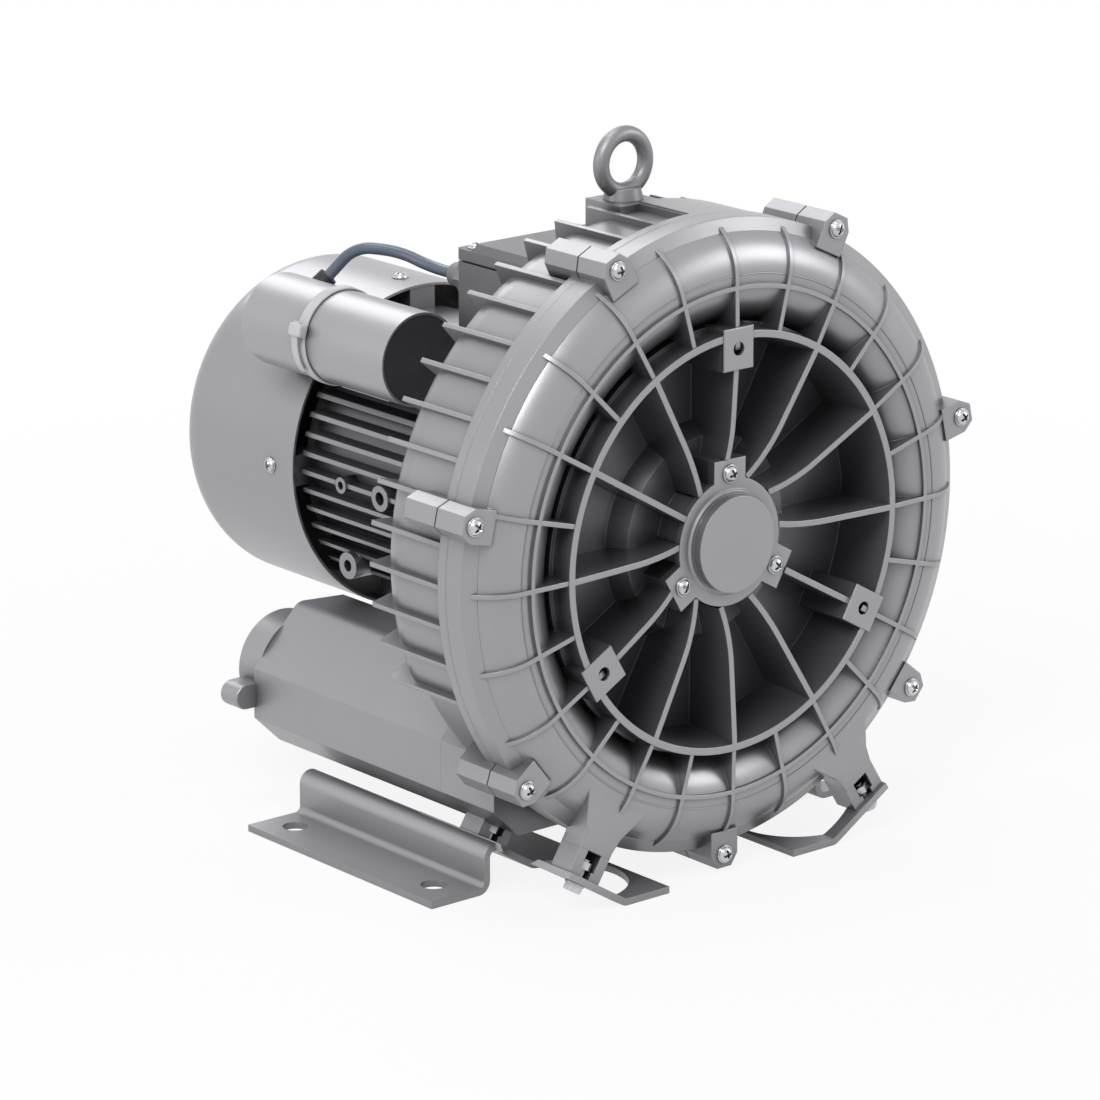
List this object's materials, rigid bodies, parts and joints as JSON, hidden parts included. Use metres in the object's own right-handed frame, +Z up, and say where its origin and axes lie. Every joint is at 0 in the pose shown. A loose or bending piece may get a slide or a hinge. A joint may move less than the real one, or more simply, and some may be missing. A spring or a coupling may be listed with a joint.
{
  "type": "side channel blower",
  "caption": "Side channel blower with a ribbed dished cover, finned housing, fan-cooled motor, run capacitor, terminal box, silencers and bent feet; impeller and fan turn with the shaft.",
  "frame": {"origin": "on the floor in the middle of the four foot holes", "axes": "+X to the right seen from the ribbed cover, +Y back along the shaft towards the fan cowl, +Z up"},
  "size_m": [0.3276, 0.346, 0.3615],
  "materials": {
    "cast_aluminium": "satin, as cast",
    "bracket_steel": "satin grey paint",
    "cowl_paint": "satin grey paint",
    "zinc_steel": "zinc plated",
    "plain_steel": "turned and ground",
    "core_steel": "stacked sheets",
    "copper": "enamelled wire",
    "box_plastic": "fine grain",
    "black_plastic": "fine grain",
    "grey_plastic": "smooth",
    "capacitor_can": "drawn can",
    "tie_plastic": "moulded",
    "lead_plastic": "smooth sheath",
    "rubber": "matt",
    "foam": "open cells"
  },
  "bodies": {
    "frame": {"blower_housing": "cast_aluminium", "cable_grommet": "rubber", "capacitor": "capacitor_can", "capacitor_cable": "lead_plastic", "capacitor_end": "black_plastic", "capacitor_gland": "grey_plastic", "capacitor_saddle": "zinc_steel", "capacitor_strap": "tie_plastic", "cover_gasket": "rubber", "cover_screws": "zinc_steel", "cowl_screws": "zinc_steel", "eyebolt": "zinc_steel", "fan_cowl": "cowl_paint", "foot_bolts": "zinc_steel", "foot_nuts": "zinc_steel", "front_bearing_outer": "plain_steel", "front_cover": "cast_aluminium", "hub_cap": "cast_aluminium", "hub_cap_screws": "zinc_steel", "inlet_foam": "foam", "inlet_silencer": "cast_aluminium", "left_foot_bracket": "bracket_steel", "lid_gasket": "rubber", "lid_screws": "zinc_steel", "motor_frame": "cast_aluminium", "motor_screws": "zinc_steel", "outlet_foam": "foam", "outlet_silencer": "cast_aluminium", "rear_bearing_outer": "plain_steel", "rear_shield": "cast_aluminium", "right_foot_bracket": "bracket_steel", "shaft_seal": "rubber", "stator_coils": "copper", "stator_core": "core_steel", "supply_gland": "grey_plastic", "terminal_block": "black_plastic", "terminal_box": "box_plastic", "terminal_lid": "box_plastic"},
    "rotor": {"cooling_fan": "black_plastic", "fan_ring": "zinc_steel", "front_bearing_inner": "plain_steel", "impeller": "cast_aluminium", "impeller_key": "plain_steel", "motor_rotor": "core_steel", "rear_bearing_inner": "plain_steel", "shaft": "plain_steel", "shaft_end_screw": "zinc_steel", "shaft_end_washer": "zinc_steel", "spacer_sleeve": "plain_steel"}
  },
  "joints": [
    {"name": "rotor_spin", "type": "hinge", "parent": "frame", "child": "rotor", "pos_m": [0, 0, 0.1695], "axis": [0, 1, 0], "continuous": true}
  ]
}
